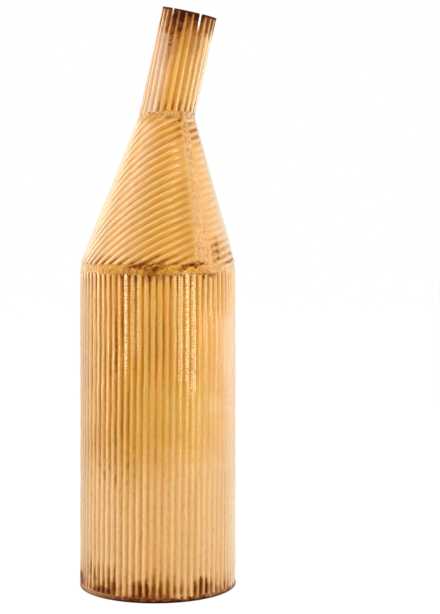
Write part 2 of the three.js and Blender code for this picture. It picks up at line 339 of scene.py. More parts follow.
# torch marks: where the metal was burnt beside its joints and edges
burns = {
    "footHeight": 33 * mm,
    "footSlant": 0.13,  # the foot's stain reaches further up on the left
    "shoulderDepth": 24 * mm,
    "rustPlace": (-0.034, -0.052, 0.105),
    "rustReach": 45 * mm,
    "rustFineness": 7,
    "rimDepth": 33 * mm,
    "rimReach": 60 * mm,  # how far down the neck is browned a little
    "rimSlant": 0.4,  # the rim's stain reaches further down on the left
    "rimStreakRib": -10.5,  # the groove of the neck that is stained furthest down
    "rimStreakDepth": 50 * mm,
    "marks": (  # both ends, half width and strength of single marks beside the joints
        ((-0.0225, -0.0594, 0.2594), (-0.0195, -0.0603, 0.2606), 2.5 * mm, 0.7),
        ((-0.0165, -0.0613, 0.2622), (-0.0095, -0.0623, 0.2642), 2.8 * mm, 1.1),
        ((-0.0065, -0.0632, 0.2622), (0.0015, -0.0625, 0.2657), 2.8 * mm, 1.05),
        ((0.0005, -0.0634, 0.2614), (0.0085, -0.0628, 0.2634), 2.8 * mm, 1.1),
        ((-0.0110, -0.0627, 0.2580), (-0.0015, -0.0634, 0.2568), 3.3 * mm, 1.5),
        ((-0.0070, -0.0631, 0.2560), (-0.0025, -0.0634, 0.2532), 3.3 * mm, 1.4),
        ((0.0190, -0.0606, 0.2600), (0.0275, -0.0564, 0.2622), 3 * mm, 0.95),
        ((0.0318, -0.0544, 0.2628), (0.0346, -0.0526, 0.2640), 3.6 * mm, 1.7),
        ((0.0462, -0.0378, 0.2738), (0.0500, -0.0333, 0.2770), 3.5 * mm, 0.7),
        ((0.0473, -0.0387, 0.2685), (0.0512, -0.0342, 0.2718), 3.5 * mm, 0.75),
        ((0.0451, -0.0363, 0.2800), (0.0486, -0.0323, 0.2829), 3.2 * mm, 0.55),
        ((0.0592, -0.0160, 0.2698), (0.0602, -0.0124, 0.2710), 2.5 * mm, 0.6),
        ((0.0255, -0.0195, 0.3698), (0.0275, -0.0178, 0.3708), 2.5 * mm, 0.5),
        ((0.0178, -0.0219, 0.3781), (0.0205, -0.0184, 0.3817), 2.5 * mm, 0.7),
        ((0.0060, -0.0222, 0.3800), (0.0125, -0.0224, 0.3815), 2 * mm, 0.35),
    ),
    "footSpots": ((-0.0102, -0.0627, 0.009), (0.0377, -0.0511, 0.008)),  # where the foot is darkest
    "footSpotReach": 13 * mm,
    "grooves": (  # stains in single grooves of the body: place across, half width, both ends, strength
        (-31.4 * mm, 1.8 * mm, 0.178, 0.222, 0.75),
        (-36.0 * mm, 1.8 * mm, 0.168, 0.205, 0.4),
        (-26.4 * mm, 1.8 * mm, 0.2, 0.235, 0.65),
        (-50.5 * mm, 1.5 * mm, 0.236, 0.252, 0.45),
        (8.5 * mm, 2.2 * mm, 0.196, 0.226, 0.35),
        (2.5 * mm, 2.2 * mm, 0.172, 0.2, 0.3),
    ),
}


def markMask(place, groove, warp):
    ragged = warp * 3 + (place.clouds(520, 2, 0.6) - 0.5) * 1.5
    mask = 0
    for start, end, half, strength in burns["marks"]:
        middle = (Vector(start) + Vector(end)) / 2
        reach = (Vector(end) - Vector(start)) / 2
        away = place.away(middle)
        along = place.along(reach.normalized()) - middle.dot(reach.normalized())
        shortened = 1 - (half / (half + reach.length)) ** 2  # so that the mark is long and narrow
        distance = (away * away - along * along * shortened) ** 0.5
        near = (distance + ragged * half).fade(1.3 * half, 0.1 * half) * strength
        mask = near.larger(mask)
    return mask * (groove * 0.6 + 0.25)


def footMask(place, groove, warp):
    height = place.along((burns["footSlant"], 0, 1)) + warp * (18 * mm)
    patchy = place.clouds(60, 2).fade(0.38, 0.6)
    stain = height.fade(burns["footHeight"], 1 * mm) * (groove * 0.65 + 0.15) * (patchy * 0.5 + 0.5)
    stain = stain.larger(height.fade(14 * mm, 1 * mm) * (groove * 0.6 + 0.4) * (patchy * 0.8 + 0.45))
    for spot in burns["footSpots"]:
        near = (place.away(spot) + warp * (10 * mm)).fade(burns["footSpotReach"], 5 * mm)
        stain = stain.larger(near * (groove * 0.85 + 0.2))
    return stain


def shoulderMask(place, groove, warp):  # the grooves are stained where they start under the band
    across = place.across()
    height = place.height() + warp * (14 * mm)
    top = bodyHigh.z
    stain = height.fade(top - burns["shoulderDepth"], top) * groove.fade(0.3, 0.95)
    stain = stain * (across.fade(0.04, 0.02) * 0.22 + 0.28)
    front = abs(across + 8 * mm).fade(45 * mm, 20 * mm)
    tips = height.fade(top - 5 * mm, top + 1 * mm) * (groove * 0.55 + 0.25)
    right = height.fade(top - 2.5 * mm, top) * across.fade(0, 0.012) * across.fade(0.054, 0.04)
    return stain.larger(tips * front).larger(right * 0.5)


def grooveMask(place, groove, warp):
    across = place.across()
    height = place.height() + warp * (25 * mm)
    front = place.front()
    mask = 0
    for at, half, low, high, strength in burns["grooves"]:
        near = abs(across - at).fade(1.4 * half, 0.7 * half)
        between = height.fade(low - 0.012, low + 0.012) * height.fade(high + 0.012, high - 0.012)
        mask = (near * between * strength).larger(mask)
    specks = place.clouds(420, 2, 0.6).fade(0.35, 0.6) * 0.5 + 0.3
    return mask * front * specks * groove.fade(0.1, 0.8)


def rustMask(place, groove, warp):
    specks = ribNoise(place, place.stored("rib"), place.height() * burns["rustFineness"], 3)
    patch = place.away(burns["rustPlace"]).fade(burns["rustReach"], 0.3 * burns["rustReach"])
    return specks.fade(0.4, 1) * patch * groove.fade(0.1, 0.8) * 0.25


def jointMask(place, groove, warp):  # the cone's grooves are stained beside the bands
    across = place.across()
    height = place.height() + warp * (12 * mm)
    front = abs(across + 12 * mm).fade(50 * mm, 25 * mm)
    low = height.fade(coneLow.z + 11 * mm, coneLow.z - 2 * mm) * (front * 0.25 + 0.4)
    high = height.fade(coneHigh.z - 26 * mm, coneHigh.z - 6 * mm) * across.fade(0.006, 0.016)
    return low.larger(high * 0.35) * groove


neckAcross = neckTurn @ Vector((1, 0, 0))
neckMiddle = neckFoot.dot(neckAcross)


def neckShare(place):  # from -1 at the left edge of the neck to 1 at its right edge
    return (place.along(neckAcross) - neckMiddle) / neckRadius


def coneShare(place):
    height = place.height()
    return (place.across() - coneMiddle(height)) / coneRadius(height)


def rimMask(place, groove, warp):
    below = rimMiddle.dot(rimNormal) - place.along(rimNormal)
    share = neckShare(place)
    shorter = share.fade(-0.5, -0.75) * (10 * mm) + abs(share - 0.1).fade(0.25, 0.1) * (6 * mm)
    ragged = below + warp * (20 * mm) + share * (neckRadius * burns["rimSlant"]) + shorter
    clean = share.fade(-0.8, -0.4) * 0.5 + 0.5
    blotches = place.clouds(110, 2).fade(0.35, 0.6) * 0.35 + 0.82
    inGrooves = groove.fade(-0.15, 0.35) * 0.85 + 0.2
    stain = ragged.fade(burns["rimDepth"], 2 * mm) * inGrooves * clean * blotches
    inStreak = abs(place.stored("rib") - burns["rimStreakRib"]).fade(0.5, 0.2)
    streak = inStreak * ragged.fade(burns["rimStreakDepth"], 12 * mm)
    specks = place.clouds(480, 2, 0.6).fade(0.38, 0.58) * 0.45 + 0.3
    wide = ragged.fade(burns["rimReach"], 20 * mm) * share.fade(0.9, 0.6) * clean * 0.26
    return stain.larger(streak * specks).larger(wide).larger(below.fade(3 * mm, 0.8 * mm))


def neckFootMask(place, groove, warp):
    height = place.height() + warp * (14 * mm)
    share = neckShare(place)
    front = share.fade(-0.7, -0.2).larger(share.fade(-0.8, -0.95)) * 0.4
    return height.fade(neckLow.z + 18 * mm, neckLow.z + 2 * mm) * groove.fade(0.2, 0.9) * front


finish = {
    "amber": (0.645, 0.30, 0.026, 1),
    "olive": (0.61, 0.312, 0.025, 1),
    "orange": (0.68, 0.255, 0.02, 1),
    # groove: painted shade in the grooves, also the dark of grain, blotches, beads and first scorching
    "groove": (0.33, 0.108, 0.005, 1),
    # pale: painted reflection on the sides and low down, and the braze's pale patches
    "pale": (0.77, 0.46, 0.20, 1),
    # bleached: painted reflection of the bright surroundings on the edges
    "reflectedPale": (0.83, 0.68, 0.46, 1),
    # polished: polished crests, partly a painted highlight
    "polishedHighlight": (0.88, 0.56, 0.21, 1),
    # bright and white: painted glints of the strip lamps on the body and the neck
    "bright": (0.97, 0.68, 0.36, 1),
    "white": (0.97, 0.90, 0.78, 1),
    # haze: painted grey reflection on the left edges
    "greyReflection": (0.66, 0.445, 0.285, 1),
    "scorched": (0.19, 0.04, 0.004, 1),
    # burnt: nearly black burns, and the painted contact shadow under the foot
    "burnt": (0.045, 0.009, 0.003, 1),
    "brown": (0.27, 0.105, 0.035, 1),
    "tan": (0.50, 0.25, 0.10, 1),
}


bareGlare = 0.06  # how much the metal under the lacquer reflects besides its colour
lacquerIndex = 1.6


def lacquer(shader, roughness):
    plug(bareGlare, shader, "Specular IOR Level")
    plug(roughness, shader, "Coat Roughness")
    plug(lacquerIndex, shader, "Coat IOR")


def scorch(burn, gold):  # brown first, then red-brown, then nearly black
    toasted = burn.fade(0, 0.45).blend(gold, finish["groove"])
    reddened = burn.fade(0.3, 0.75).blend(toasted, finish["scorched"])
    return burn.fade(0.7, 1.1).blend(reddened, finish["burnt"])


def ribNoise(place, rib, height, layer):  # a value of its own for each rib, drifting along it
    ribPlace = place.node("ShaderNodeCombineXYZ", values={"X": rib * 0.9, "Y": height * 14, "Z": layer})
    return ribPlace.clouds(1.3, 2, 0.55).fade(0.3, 0.7)


def bodyShade(place):  # how dark the painted shade in the grooves is: most so on the left of the front, above the middle
    across = place.across()
    left = across.fade(-0.075, -0.042) * across.fade(0.026, 0.004)
    return left * (place.height().fade(0.085, 0.125) * 0.47 + 0.18) + 0.25


def bodyPalenessAndReflection(place, warp):  # painted reflection: paler below the middle, where the floor is reflected, and towards the sides
    height = place.height() + warp * 0.02
    across = place.across()
    lowSides = across.fade(-0.006, -0.02) * 0.16 + across.fade(0.02, 0.04) * 0.08
    low = height.fade(0.13, 0.085) * (lowSides + 0.5)
    sides = across.fade(0.02, 0.05).larger(across.fade(-0.02, -0.045)) * 0.35
    right = abs(across - 0.017).fade(0.012, 0.004) * 0.15
    left = abs(across + 0.0525).fade(0.009, 0.003) * (abs(height - 0.11).fade(0.01, 0.04) * 0.4 + 0.05)
    patch = place.away((0.037, -0.0516, 0.19)).fade(0.048, 0.012) * 0.32
    return (low + sides + right + left - patch).larger(across.fade(0.046, 0.062))


def bodySideReflection(place):  # painted reflection of the bright surroundings on the sides, most so low down on the right
    across = place.across()
    right = across.fade(0.053, 0.0635) * (place.height().fade(0.12, 0.06) * 0.65 + 0.3)
    return right.larger(across.fade(-0.056, -0.0635) * 0.35)


def bodyBlush(place):  # a reddish patch under the band
    return place.away((-0.035, -0.053, 0.233)).fade(0.03, 0.008)


def bodyPolishAndHighlight(place):  # polish with a painted highlight on the crests: the middle of the front is the dullest, the left the brightest
    across = place.across()
    middle = across.fade(-0.012, -0.004) * across.fade(0.018, 0.01) * 0.65
    left = across.fade(-0.03, -0.042) * across.fade(-0.062, -0.054) * 0.6
    low = place.height().fade(0.115, 0.085) * across.fade(0.02, -0.01) * 0.5
    return left + low + 1 - middle.larger(across.fade(0.03, 0.045) * 0.4)


def bodyGreyReflection(place):  # painted grey reflection on the left edge, not at the back
    return place.across().fade(-0.05, -0.061) * place.along((0, 1, 0)).fade(0.06, 0) * 0.8


plainWear = {
    "blush": lambda place: 0,
    "across": Vector((1, 0, 0)),
    "paintedGlints": (),
    "bare": finish["bright"],
}
bodyWear = {
    **plainWear,
    "stains": (footMask, shoulderMask, grooveMask, rustMask),
    "shade": bodyShade,
    "palenessAndReflection": bodyPalenessAndReflection,
    "sideReflection": bodySideReflection,
    "blush": bodyBlush,
    "polishAndHighlight": bodyPolishAndHighlight,
    # painted glints: lines where the strip lamps' reflections are painted bright: place across, half
    # width, lower end, strength,
    # how far down the flank they lie and how far they spread over it
    "paintedGlints": (
        (-22.9 * mm, 2.6 * mm, 0.18, 0.85, 0, 0.6),
        (-14.6 * mm, 4.5 * mm, 0.19, 0.6, 0.35, 0.3),
        (18.6 * mm, 2.4 * mm, 0.172, 0.95, 0.4, 0.32),
        (23.8 * mm, 2.4 * mm, 0.172, 0.95, 0.2, 0.4),
        (29.6 * mm, 3.6 * mm, 0.162, 0.95, 0.4, 0.32),
    ),
    "greyReflection": bodyGreyReflection,
}


# a little paler all over, with painted reflection on the left half and on the right side
def conePalenessAndReflection(place, warp):
    share = coneShare(place)
    left = share.fade(0, -0.6) * (place.height().fade(0.28, 0.34) * 0.2 + 0.8)
    return left.larger(share.fade(0.3, 0.9) * 0.4) * 0.8 + 0.12


# painted reflection of the bright surroundings on both edges
def coneSideReflection(place):
    share = coneShare(place)
    return share.fade(-0.7, -0.95).larger(share.fade(0.85, 1)) * 0.7


def coneShade(place):  # the painted shade in the grooves is darkest in front and low down on the left
    across = place.across()
    low = place.height().fade(0.305, 0.275) * across.fade(-0.015, -0.035) * across.fade(-0.058, -0.05)
    return abs(across).fade(0.05, 0.02) * 0.1 + low * 0.22 + 0.2


coneWear = {
    **plainWear,
    "stains": (jointMask,),
    "shade": coneShade,
    "palenessAndReflection": conePalenessAndReflection,
    "sideReflection": coneSideReflection,
    # polish and painted highlight on the crests, most on the left
    "polishAndHighlight": lambda place: place.across().fade(0.03, -0.04) * 0.5 + 0.1,
    # painted grey reflection on the left edge
    "greyReflection": lambda place: place.across().fade(-0.04, -0.06) * 0.4,
}


# painted reflection on the left and right edges
def neckPalenessAndReflection(place, warp):
    share = neckShare(place)
    left = share.fade(0.1, -0.8) * (share.fade(-1.05, -0.7) * 0.5 + 0.5)
    return left.larger(share.fade(0.2, 0.9) * 0.7) * 0.9


def neckGreyReflection(place):  # painted grey reflection, greyest a little in from the left edge, a little so right of the middle
    share = neckShare(place)
    left = share.fade(-0.1, -0.65) * (share.fade(-1.05, -0.75) * 0.45 + 0.35)
    return left.larger(abs(share - 0.38).fade(0.3, 0.1) * 0.1)


neckWear = {
    **plainWear,
    "stains": (rimMask, neckFootMask),
    # painted shade in the grooves, lighter towards the left edge
    "shade": lambda place: neckShare(place).fade(-0.8, 0) * 0.2 + 0.28,
    "palenessAndReflection": neckPalenessAndReflection,
    # painted reflection on the right edge
    "sideReflection": lambda place: neckShare(place).fade(0.72, 1),
    "polishAndHighlight": lambda place: 0.7,
    "across": neckAcross,
    # painted glints of the strip lamp near the rim
    "paintedGlints": (
        (neckMiddle + 0.45 * neckRadius, 1.6 * mm, 0.454, 2, 0, 0.2),
        (neckMiddle - 0.53 * neckRadius, 1.4 * mm, 0.467, 1.6, 0, 0.2),
    ),
    "bare": finish["white"],
    "greyReflection": neckGreyReflection,
}


# painted glints: lines on the front where the strip lamps' reflections are painted bright
def paintedGlintMask(place, groove, wear):
    across = place.along(wear["across"])
    height = place.height()
    front = place.front()
    mask = 0
    for at, half, low, strength, flank, spread in wear["paintedGlints"]:
        line = abs(groove - flank).fade(spread, 0.3 * spread) * strength
        streak = abs(across - at).fade(1.3 * half, 0.6 * half) * height.fade(low - 0.008, low + 0.008)
        mask = (line * streak).larger(mask)
    return front * mask


def sheetMaterial(name, wear):
    material, shader, place = newMaterial(name)
    groove = place.stored("groove")
    rib = place.stored("rib")
    height = place.height()
    tone = ribNoise(place, rib, height, 0)
    gloss = ribNoise(place, rib, height, 5)
    hue = ribNoise(place, rib, height, 9)
    spread = ribNoise(place, rib, height * 3, 13)
    warp = place.clouds(170, 3, 0.6) - 0.5
    drift = place.clouds(22, 2, 0.5) - 0.5
    drawn = place.node("ShaderNodeCombineXYZ", values={"X": rib * 5, "Y": height * 150})
    grains = drawn.clouds(1.3, 3, 0.65)
    beads = place.maths("SINE", height * 3000 + warp * 9) * 0.14
    specks = place.clouds(900, 0)
    dots = specks + beads
    burn = markMask(place, groove, warp)
    for stain in wear["stains"]:
        burn = burn.larger(stain(place, groove, warp + (tone - 0.5) * 0.4))
    gold = drift.fade(-0.05, 0.15).blend(finish["amber"], finish["olive"])
    blush = wear["blush"](place) * (hue * 0.5 + 0.5)
    gold = (hue.fade(0.6, 0.95) * 0.6).larger(blush).blend(gold, finish["orange"])
    # painted reflection, paler low down and towards the sides, varying from rib to rib
    gold = (wear["palenessAndReflection"](place, drift) + (tone - 0.5) * 0.15).blend(gold, finish["pale"])
    # painted grey reflection on the left edges
    gold = (wear["greyReflection"](place) * (tone * 0.4 + 0.8)).blend(gold, finish["greyReflection"])
    # painted reflection of the bright surroundings on the edges
    gold = wear["sideReflection"](place).blend(gold, finish["reflectedPale"])
    # painted shade in the grooves, varying from rib to rib
    deep = groove ** 1.3 * (tone * 0.6 + spread * 0.4 + 0.2) * wear["shade"](place)
    gold = deep.blend(gold, finish["groove"])
    gold = (grains.fade(0.5, 0.72) * 0.4).blend(gold, finish["groove"])
    crest = (1 - groove).fade(0.68, 1)
    glints = specks.fade(0.3, 0.6)
    # polished crests, paler and more metallic; their paler colour is partly a painted highlight
    polishAndHighlight = crest * (gloss * 0.75 + 0.1) * (glints * 0.5 + 0.5) * (1 - burn * 0.6)
    polishAndHighlight = polishAndHighlight * wear["polishAndHighlight"](place)
    gold = (polishAndHighlight * 0.8).blend(gold, finish["polishedHighlight"])
    gold = scorch(burn, gold)
    # painted glints of the strip lamps, beaded with dark dots
    streak = paintedGlintMask(place, groove, wear)
    gold = (streak * dots.fade(0.5, 0.38) * 0.35).blend(gold, finish["groove"])
    paintedGlints = (streak * (dots.fade(0.38, 0.58) * 0.65 + 0.3)).fade(0, 1)
    gold = paintedGlints.blend(gold, wear["bare"])
    shine = polishAndHighlight.larger(paintedGlints * 0.5)
    plug(gold, shader, "Base Color")
    plug(shine * 0.6 + 0.3, shader, "Metallic")
    plug(burn * 0.15 + grains * 0.15 - shine * 0.2 + 0.36, shader, "Roughness")
    lacquer(shader, 0.16)
    plug((1 - groove).fade(0.3, 0.95) * (0.9 - burn * 0.9), shader, "Coat Weight")
    ripples = place.clouds(620, 1) * 0.7 + grains * 0.3
    plug(bump(place, ripples, 0.4, 0.25 * mm), shader, "Normal")
    return material


# braze: how pale it is, with painted reflection on the shoulder band's sides, and how mottled at each
# place
def shoulderMottling(place, warp):
    height = place.height() + warp * (8 * mm)
    across = place.across()
    sides = abs(across).fade(0.064, 0.05) * 0.7 + abs(across + 0.008).fade(0.03, 0.012) * 0.5 + 0.2
    right = across.fade(0.045, 0.03) * 0.15 + 0.95
    return height.fade(coneLow.z + 0.5 * mm, bodyHigh.z + 2 * mm) * sides * right * 0.75


def neckMottling(place, warp):
    height = place.height() + warp * (6 * mm)
    return height.fade(coneHigh.z - 1 * mm, neckLow.z) * 0.85


def seamMottling(place, warp):
    height = place.height() + warp * (20 * mm)
    return height.fade(0.335, 0.37) * 0.3 + height.fade(0.295, 0.27) * 0.2 + 0.38


# painted reflection: the band is paler towards its sides
def shoulderPalenessAndReflection(place):
    return abs(place.across()).fade(0.025, 0.058) * 0.7 - 0.15


# painted reflection on the band's outer sides
def shoulderSideReflection(place):
    return abs(place.across()).fade(0.05, 0.062) * 0.6


plainBraze = {
    "relief": 0.6,
    "speckle": finish["scorched"],
    "stains": (),
}
shoulderBraze = {
    **plainBraze,
    "palenessAndReflection": shoulderPalenessAndReflection,
    "sideReflection": shoulderSideReflection,
    "mottling": shoulderMottling,
}
neckBraze = {
    **plainBraze,
    "palenessAndReflection": lambda place: 0.2,
    # painted reflection on the band's sides
    "sideReflection": lambda place: abs(neckShare(place)).fade(0.5, 0.95) * 0.5,
    "mottling": neckMottling,
}
seamBraze = {
    "palenessAndReflection": lambda place: 0.5,
    "sideReflection": lambda place: 0,
    "mottling": seamMottling,
    "relief": 1,
    "speckle": finish["groove"],
    "stains": (rimMask, footMask),
}


def brazeMaterial(name, part):
    material, shader, place = newMaterial(name)
    groove = place.stored("groove")
    warp = place.clouds(170, 3, 0.6) - 0.5
    patches = place.clouds(140, 3, 0.6)
    blotches = place.clouds(430, 3, 0.65)
    speckles = place.clouds(950, 2, 0.7)
    uneven = groove.larger(patches.fade(0.4, 0.6))
    burn = markMask(place, uneven, warp)
    for stain in part["stains"]:
        burn = burn.larger(stain(place, uneven, warp))
    mottling = part["mottling"](place, warp)
    # pale patches, with painted reflection on the sides of the shoulder band
    pale = patches.fade(0.3, 0.7) * 0.5 + part["palenessAndReflection"](place)
    gold = pale.blend(finish["amber"], finish["pale"])
    # painted reflection on the sides, patchy
    gold = (part["sideReflection"](place) * (patches * 0.5 + 0.75)).blend(gold, finish["reflectedPale"])
    # painted shade in the flutes' grooves that run over the band
    gold = (groove * 0.4).blend(gold, finish["groove"])
    gold = (blotches.fade(0.4, 0.66) * mottling).blend(gold, finish["groove"])
    gold = (speckles.fade(0.5, 0.7) * mottling * 0.6).blend(gold, part["speckle"])
    plug(scorch(burn, gold), shader, "Base Color")
    plug(speckles * 0.2 + 0.3, shader, "Metallic")
    plug(speckles * 0.25 + burn * 0.2 + 0.3, shader, "Roughness")
    lacquer(shader, 0.2)
    plug(speckles.fade(0.6, 0.35) * 0.6 - burn * 0.6 - groove * 0.3, shader, "Coat Weight")
    plug(bump(place, speckles * 0.4 + blotches, part["relief"], 0.5 * mm), shader, "Normal")
    return material


def bareMetal(shader, place, mottled, metallic):  # burnt, without lacquer
    plug(mottled * 0.3 + 0.35, shader, "Roughness")
    plug(metallic, shader, "Metallic")
    plug(bareGlare, shader, "Specular IOR Level")
    plug(bump(place, place.clouds(700, 3, 0.6), 0.5, 0.3 * mm), shader, "Normal")


def burntMaterial(name):
    material, shader, place = newMaterial(name)
    mottled = place.clouds(140, 4, 0.65)
    plug(mottled.fade(0.35, 0.75).blend(finish["burnt"], finish["scorched"]), shader, "Base Color")
    bareMetal(shader, place, mottled, 0.8)
    return material


def footMaterial(name):  # stained like the ends of the ribs, with painted contact shadow nearly black where it meets the ground
    material, shader, place = newMaterial(name)
    mottled = place.clouds(190, 4, 0.65)
    across = place.across()
    sides = across.fade(-0.02, -0.05).larger(across.fade(0.025, 0.055) * 0.6)
    brown = mottled.fade(0.42, 0.62).blend(finish["scorched"], finish["brown"])
    brown = (mottled.fade(0.5, 0.62) * 0.25 + sides * 0.75).blend(brown, finish["tan"])
    # painted contact shadow: nearly black along the bottom edge
    low = (place.height() + (mottled - 0.5) * (4 * mm)).fade(3 * mm, 1.3 * mm)
    plug((low * (1 - sides * 0.5)).blend(brown, finish["burnt"]), shader, "Base Color")
    bareMetal(shader, place, mottled, 0.5)
    return material


bodyGold = sheetMaterial("bodyGold", bodyWear)
coneGold = sheetMaterial("coneGold", coneWear)
neckGold = sheetMaterial("neckGold", neckWear)
shoulderGold = brazeMaterial("shoulderGold", shoulderBraze)
neckBandGold = brazeMaterial("neckBandGold", neckBraze)
seamGold = brazeMaterial("seamGold", seamBraze)
burntMetal = burntMaterial("burntMetal")
footMetal = footMaterial("footMetal")
print("materials ready")


# tubes: a ring is drawn out along its axis, and the flutes rise out of the brazed end
def flutedTube(name, part):
    steps = sheet["steps"]
    start = part["start"]
    axis = part["axis"]

    def fromAxis(spot):  # the place round the axis, as if the tube stood upright
        middle = start + axis * ((spot.z - start.z) / axis.z)
        return Vector(((spot.x - middle.x) / part["stretch"], spot.y - middle.y))

    def azimuthOf(outward):
        return math.degrees(math.atan2(outward.x, -outward.y))

    def ribAt(spot):  # ribs counted from the seam
        flat = fromAxis(spot)
        return math.atan2(flat.x, flat.y) / (2 * math.pi) * part["flutes"]

    def radiusOf(step, share, sink):
        return part["radius"] - sink * (1 - share) - fluteDrop(step / steps) * share

    rowNearness = 0.4 * mm
    rising = part["rising"]
    deselectAll()
    startRadius = radiusOf(0, 0, rising[0][2])
    ringPoints = part["flutes"] * steps
    bpy.ops.mesh.primitive_circle_add(vertices=ringPoints, radius=startRadius, location=start)
    bpy.context.object.scale.x = part["stretch"]
    piece = startPiece(name)
    startEdit()
    editPoints(piece, lambda spot: abs(ribAt(spot)) < sheet["opening"])
    bpy.ops.mesh.delete(type="VERT")
    selectMesh()
    place = start.copy()
    shapedLength = sum(row[0] for row in rising + part["ending"])
    runningRow = (part["length"] - shapedLength) / part["rows"]
    rows = rising + ((runningRow, 1, 0),) * part["rows"] + part["ending"]
    lastShape = (0, rising[0][2])
    for number, (advance, share, sink) in enumerate(rows):
        pushOut(axis * advance)
        place = place + axis * advance
        if (share, sink) != lastShape:
            for step in range(steps // 2 + 1):
                factor = radiusOf(step, share, sink) / radiusOf(step, *lastShape)

                def onStep(spot):
                    phase = round(ribAt(spot) * steps) % steps
                    return abs(spot.z - place.z) < rowNearness and phase in (step, steps - step)

                editPoints(piece, onStep)
                bpy.ops.transform.resize(value=(factor, factor, 1), center_override=place)
            editPoints(piece, lambda spot: abs(spot.z - place.z) < rowNearness)
            lastShape = (share, sink)
        if number == len(rising) - 1:
            uneven = {"offset": part["unevenness"], "seed": part["seed"]}
            bpy.ops.transform.vertex_random(wait_for_input=False, **uneven)
    endEdit()
    points = [point.co for point in piece.data.vertices]
    for spot in points:
        outward = fromAxis(spot)
        swell = (part["radius"] / outward.length - 1) * part["flat"](azimuthOf(outward), spot.z)
        spot.x += outward.x * swell * part["stretch"]
        spot.y += outward.y * swell
    grooves = [(part["radius"] - fromAxis(spot).length) / sheet["fluteDepth"] for spot in points]
    storeFlutes(piece, grooves, [ribAt(spot) for spot in points])
    for spot in points:
        outward = fromAxis(spot)
        toSeam = sheet["twistEnd"] - abs(azimuthOf(outward))
        turn = part["twist"](spot.z) * smooth(toSeam / sheet["twistOver"])
        turned = Matrix.Rotation(math.radians(turn), 2) @ outward
        spot.x += (turned.x - outward.x) * part["stretch"]
        spot.y += turned.y - outward.y
    faceOutwards(piece, lambda spot: Vector((spot.x - start.x, spot.y - start.y, 0)))
    return piece


def raggedEnds(piece, end, reach, size, height):  # the ribs end unevenly at the brazed end
    lumpsWhere(piece, lambda spot: 1 - abs(spot.z - end) / reach, size, height, direction="Z")


def wobble(piece):
    lumps(piece, *sheet["wobble"], direction="RGB_TO_XYZ")
    lumps(piece, *sheet["ripple"], direction="RGB_TO_XYZ")
    lumps(piece, *sheet["dents"])


def window(value, *corners):  # 0 outside, 1 between the two inner corners
    low, risen, falling, high = corners
    return smooth((value - low) / (risen - low)) * smooth((high - value) / (high - falling))


bodyFlats = (  # share that the flutes are flattened by, and the zone's corners: azimuths, heights
    (0.74, (27, 42, 70, 95), (0.08, 0.105, 0.214, 0.236)),
    (0.35, (-18, -5, 70, 95), (0.08, 0.105, 0.155, 0.18)),
    (0.6, (15, 32, 70, 95), (0.08, 0.105, 0.155, 0.18)),
    (0.22, (-8, 12, 70, 95), (0.02, 0.045, 0.1, 0.16)),
    (0.38, (20, 45, 70, 95), (0.02, 0.045, 0.1, 0.16)),
)


def bodyFlat(azimuth, height):
    return max(share * window(azimuth, *wide) * window(height, *tall) for share, wide, tall in bodyFlats)


def bodyTwist(height):  # degrees that the rolled sheet is twisted by, away from its seam
    evenAbove = 0.2
    return -1.15 - 10 * max(0, evenAbove - height)


def neckTwist(height):
    twistFrom = 0.39
    return 2.9 - 84 * (height - twistFrom)


bodyOverlap = 1.5 * mm  # how far the ribs stand up in front of the band
bodySheet = {
    "start": Vector((0, 0, bodyHigh.z + bodyOverlap)),
    "axis": Vector((0, 0, -1)),
    "stretch": 1,
    "radius": bodyRadius,
    "flutes": 72,
    "length": bodyHigh.z + bodyOverlap - bodyLow.z,
    # rows of length, share of the flutes' depth, and sink under the crests
    "rising": ((0.5 * mm, 0.25, 0.9 * mm), (0.5 * mm, 0.7, 0.9 * mm), (0.6 * mm, 1, 0)),
    "rows": 56,
    "ending": ((1.6 * mm, 0.9, 0.1 * mm), (1.2 * mm, 0.65, 0.1 * mm), (mm, 0.4, 0.1 * mm)),
    "flat": bodyFlat,
    "twist": bodyTwist,
    "unevenness": 0.12 * mm,
    "seed": 4,
    # reach, size and height of the unevenness of the ribs' ends
    "raggedTop": (14 * mm, 0.006, 5 * mm),
    "raggedFoot": (9 * mm, 0.005, 4 * mm),
}
body = flutedTube("bodySheet", bodySheet)
raggedEnds(body, bodyHigh.z, *bodySheet["raggedTop"])
raggedEnds(body, bodyLow.z, *bodySheet["raggedFoot"])
wobble(body)
thicken(body, 0)
finishPiece(body, "body_sheet", "fluted_sheet", bodyGold)

neckSheet = {
    "start": neckFoot,
    "axis": neckAxis,
    "stretch": 1 / math.cos(neckLean),
    "radius": neckRadius,
    "flutes": 24,
    "length": neckLength + 0.4 * neckRadius,
    "rising": ((mm, 0.2, 0.4 * mm), (mm, 0.55, 0.4 * mm), (mm, 0.9, 0.4 * mm), (1.2 * mm, 1, 0)),
    "rows": 26,
    "ending": (),
    "flat": lambda azimuth, height: 0,
    "twist": neckTwist,
    "unevenness": 0.14 * mm,
    "seed": 9,
    "raggedFoot": (10 * mm, 0.008, 5 * mm),
}
neck = flutedTube("neckSheet", neckSheet)
trim(neck, rimMiddle, rimNormal)
raggedEnds(neck, neckLow.z, *neckSheet["raggedFoot"])
wobble(neck)
thicken(neck, 1)
finishPiece(neck, "neck_sheet", "fluted_sheet", neckGold, burntMetal)


# cone: the flutes are straight and parallel on the flat sheet, which is rolled up about the apex
def conePoint(slant, azimuth, rise):
    outward = slant * coneSin + rise * coneCos
    up = rise * coneSin - slant * coneCos
    return coneTurn @ Vector((outward * math.sin(azimuth), -outward * math.cos(azimuth), up)) + coneApex


def slantAt(azimuth, height):
    fall = conePoint(1, azimuth, 0).z - coneApex.z
    return (height - coneApex.z) / fall


def fanAngle(azimuth):
    return (azimuth - math.radians(cone["uprightAzimuth"])) * coneSin


def footRise(height):
    return cone["footRise"] * smooth((cone["footRiseFrom"] - height) / cone["footRiseOver"])


